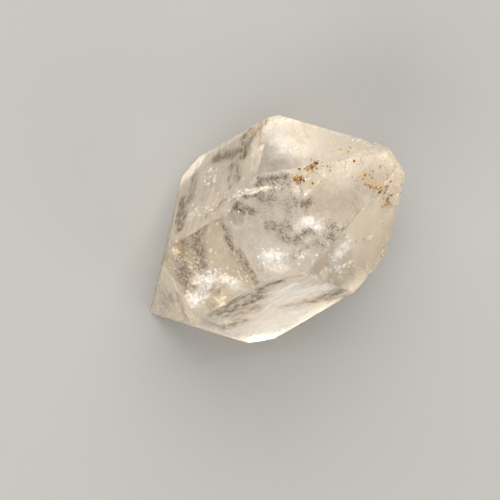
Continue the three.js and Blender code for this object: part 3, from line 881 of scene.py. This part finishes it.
LIGHTEST = 0.85  # of tones from 0, black, to 1, golden
START_OVER = 3  # the height from which a grain is dropped on the face
chance = np.random.default_rng(23)
bpy.ops.mesh.primitive_ico_sphere_add(subdivisions=2, radius=1)
lump = bpy.context.object
lump_points = np.array([v.co for v in lump.data.vertices])
lump_faces = np.array([p.vertices[:] for p in lump.data.polygons])
bpy.data.objects.remove(lump)
points, tones = [], []
for name, x, y, half, number, size in GRAINS:
    down = Vector(-NORMALS[FACES.index(name)])
    for _ in range(number):
        start = places_at(name, [x + half * chance.normal()], [y + half * chance.normal()], START_OVER)[0]
        hit, at, facing, _ = crystal.ray_cast(Vector(start * MM), down, distance=2 * START_OVER * MM)
        if not hit:
            continue
        radius = size * chance.lognormal(0, LUMP_VARIATION)
        bumps = noise_at(lump_points, LUMP_NOISE_SCALE, LUMP_STEP * len(points))
        rough_lump = lump_points * (1 + LUMP_ROUGHNESS * bumps)[:, None]
        rough_lump = rough_lump * radius * (1, chance.uniform(*LUMP_WIDTHS), LUMP_HEIGHT)
        turn = turned_towards(np.array(facing), LUMP_SPREAD, 1)[0]
        points.append(np.array(at) / MM + rough_lump @ turn.T)
        tones.append(LIGHTEST * chance.random())
BLACK_OXIDE = (0.025, 0.011, 0.004, 1)
BROWN_OXIDE = (0.2, 0.08, 0.015, 1)
GOLDEN_OXIDE = (0.32, 0.17, 0.035, 1)
TONES_FROM = 0.1
TONES_TO = 0.9
MOTTLE_SCALE = 9000
MOTTLE = (0.3, 0.7, -0.3, 0.3)  # from low, from high, to low, to high
OXIDE_ROUGHNESS = 0.75
OXIDE_GLOSS = 0.15
rust = bpy.data.materials.new("iron_oxide")
oxide = joined("iron_oxide_grains", np.array(points), lump_faces, rust)
tone = oxide.data.attributes.new("tone", "FLOAT", "POINT")
tone.data.foreach_set("value", np.repeat(tones, len(lump_points)).astype(np.float32))
rust.use_nodes = True
tree = rust.node_tree
surface = tree.nodes["Principled BSDF"]
tone = shader_node(tree, "Attribute", attribute_name="tone").outputs["Fac"]
at = shader_node(tree, "TexCoord").outputs["Object"]
mottle = noise_node(tree, at, (MOTTLE_SCALE, MOTTLE_SCALE, MOTTLE_SCALE))
ramp = shader_node(tree, "ValToRGB", {"Fac": maths(tree, "ADD", tone, ranged(tree, mottle, *MOTTLE))})
darkest, lightest = ramp.color_ramp.elements
darkest.color = BLACK_OXIDE
darkest.position = TONES_FROM
lightest.color = GOLDEN_OXIDE
lightest.position = TONES_TO
ramp.color_ramp.elements.new((TONES_FROM + TONES_TO) / 2).color = BROWN_OXIDE
tree.links.new(ramp.outputs["Color"], surface.inputs["Base Color"])
surface.inputs["Roughness"].default_value = OXIDE_ROUGHNESS
surface.inputs["Specular IOR Level"].default_value = OXIDE_GLOSS

# ---- The floor ----
# A plain pale board, a little under the crystal so that their faces don't meet.

FLOOR_SIZE = 3  # metres
FLOOR_GAP = 0.06  # millimetres
FLOOR_COLOUR = (0.22, 0.217, 0.21, 1)
FLOOR_ROUGHNESS = 0.9
bpy.ops.mesh.primitive_plane_add(size=FLOOR_SIZE, location=(0, 0, -FLOOR_GAP * MM))
floor = bpy.context.object
floor.name = "floor"
floor.data.materials.append(plain("floor", FLOOR_COLOUR, FLOOR_ROUGHNESS))

# ---- The light ----
# A faint even light from all round, and four soft square lamps: the key from the far side, a fill from
# the near left, a small one from above and a weak one from the near right.

SURROUNDINGS = (0.9, 0.95, 1, 1)
SURROUNDINGS_STRENGTH = 0.25
LAMPS = {
    # the way towards it, distance and size in metres, power in watts, colour
    "key": ((0.346, 0.723, 0.598), 0.5, 0.7, 7.6, (1, 0.965, 0.91)),
    "fill": ((-0.8, -0.4, 0.5), 0.6, 0.6, 5.4, (1, 0.985, 0.955)),
    "top": ((0.05, 0.1, 1), 0.5, 0.3, 1.3, (1, 0.97, 0.93)),
    "side": ((0.35, -0.85, 0.4), 0.5, 0.3, 1.2, (0.97, 0.985, 1)),
}
world = bpy.data.worlds.new("studio")
bpy.context.scene.world = world
world.use_nodes = True
background = world.node_tree.nodes["Background"]
background.inputs["Color"].default_value = SURROUNDINGS
background.inputs["Strength"].default_value = SURROUNDINGS_STRENGTH
for name, (way, distance, size, power, colour) in LAMPS.items():
    data = bpy.data.lights.new(name, "AREA")
    data.energy = power
    data.size = size
    data.color = colour
    lamp = bpy.data.objects.new(name, data)
    bpy.context.scene.collection.objects.link(lamp)
    towards = Vector(way).normalized()
    lamp.location = towards * distance
    lamp.rotation_euler = towards.to_track_quat("Z", "Y").to_euler()

# ---- The camera ----
# It looks almost straight down from over a metre away, turned so that the raised tip of the crystal
# points to the upper right.

VIEW = Vector((-0.1424, -0.0053, 0.9898)).normalized()
IMAGE_UP = Vector((0.4907, 0.8681, 0.0753))
AIM = Vector((-1.804, -0.495, 0)) * MM
DISTANCE = 1135 * MM
FIELD = 45.126 * MM  # what the picture spans at that distance
SENSOR = 36
NEAR = 0.1  # metres
FAR = 10
BOUNCES = 32
GLOSSY_BOUNCES = 16
optics = bpy.data.cameras.new("camera")
camera = bpy.data.objects.new("camera", optics)
bpy.context.scene.collection.objects.link(camera)
bpy.context.scene.camera = camera
right = IMAGE_UP.cross(VIEW).normalized()
turn = Matrix((right, VIEW.cross(right), VIEW)).transposed().to_4x4()
camera.matrix_world = Matrix.Translation(AIM + VIEW * DISTANCE) @ turn
optics.sensor_width = SENSOR
optics.lens = SENSOR * DISTANCE / FIELD
optics.clip_start = NEAR
optics.clip_end = FAR
bpy.context.scene.view_settings.view_transform = "Standard"
bpy.context.scene.cycles.sample_clamp_indirect = 0
bpy.context.scene.cycles.max_bounces = BOUNCES
bpy.context.scene.cycles.transmission_bounces = BOUNCES
bpy.context.scene.cycles.glossy_bounces = GLOSSY_BOUNCES
